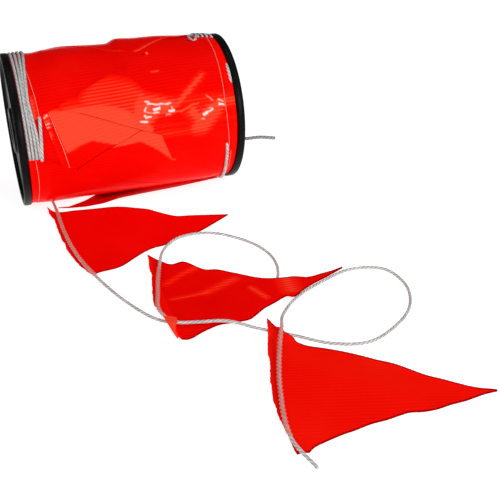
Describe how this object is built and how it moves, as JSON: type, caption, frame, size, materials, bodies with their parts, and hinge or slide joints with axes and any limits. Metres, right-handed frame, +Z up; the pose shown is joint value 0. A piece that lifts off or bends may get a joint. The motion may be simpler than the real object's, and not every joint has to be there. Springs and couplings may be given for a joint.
{
  "type": "reel of bunting",
  "caption": "Spool wound with triangular film pennants sewn to a cord; the last few have run off and lie in front of it with the cord in loose loops.",
  "frame": {"origin": "on the surface the part rests on, under the middle of the spool and its loose pennants", "axes": "+X along the spool's axis towards the flange with the cord's inner end, +Y from the loose end back towards the spool, +Z up"},
  "size_m": [0.3662, 0.6204, 0.1821],
  "materials": {
    "spool": "satin moulded black",
    "film": "glossy fluorescent red ribbed film",
    "cord": "twisted white and grey cord"
  },
  "bodies": {
    "root": {"flange_left": "spool", "flange_right": "spool", "barrel": "spool", "winding": "film", "pennant_hanging": "film", "pennant_1": "film", "pennant_2": "film", "pennant_3": "film", "cord_loose": "cord", "cord_stub": "cord"}
  },
  "joints": []
}
